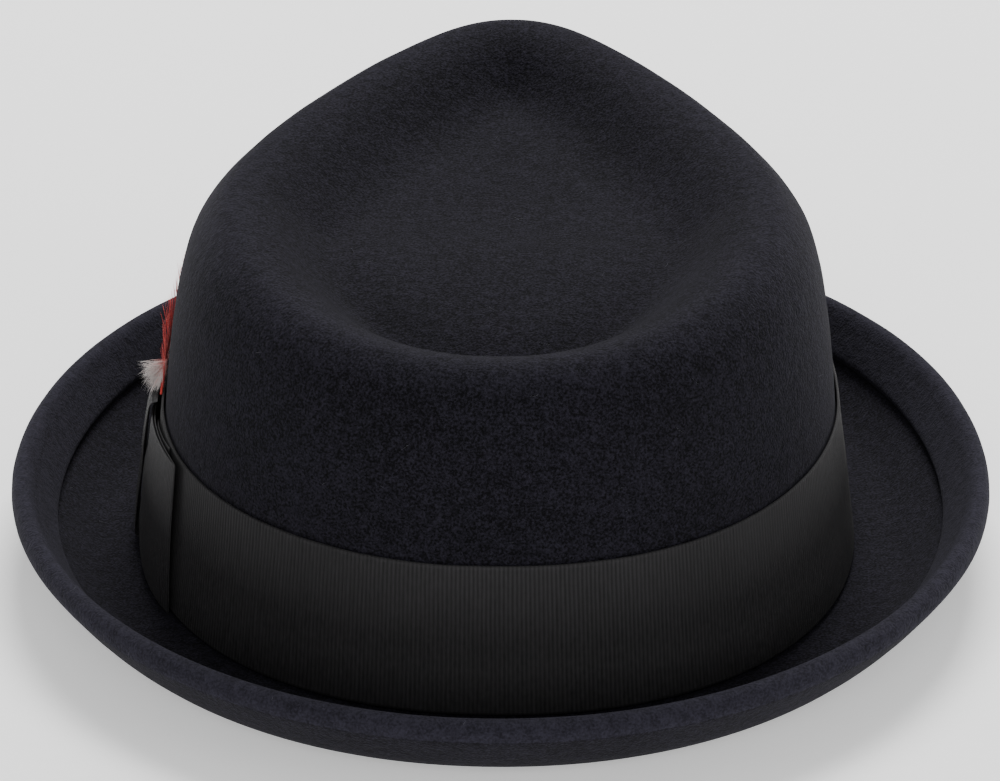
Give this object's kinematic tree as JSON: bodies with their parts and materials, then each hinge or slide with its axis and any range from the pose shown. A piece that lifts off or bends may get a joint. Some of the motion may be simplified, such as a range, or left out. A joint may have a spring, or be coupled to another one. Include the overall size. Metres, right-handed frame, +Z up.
{
  "type": "stingy brim hat",
  "caption": "Narrow-brimmed felt hat with a teardrop crown, a turned-up welted brim, a ribbon band, a flat side bow and a small red feather.",
  "frame": {"origin": "middle of the hat's bounding box, on the surface that the flat of the brim rests on", "axes": "+Z up through the crown, -Y towards the front of the hat, +X towards the wearer's left, where the bow is"},
  "size_m": [0.2376, 0.2664, 0.1002],
  "materials": {
    "felt": "matt wool felt, blue-black, with a short nap",
    "band_ribbon": "black grosgrain ribbon with fine upright ribs",
    "bow_ribbon": "black grosgrain ribbon with a soft sheen",
    "feather_red": "dyed red feather",
    "feather_down": "white and pink down"
  },
  "bodies": {
    "root": {"felt_body": "felt", "hat_band": "band_ribbon", "bow_loops": "bow_ribbon", "bow_knot": "bow_ribbon", "bow_tail": "bow_ribbon", "feather_vane": "feather_red", "feather_tuft": "feather_down"}
  },
  "joints": []
}
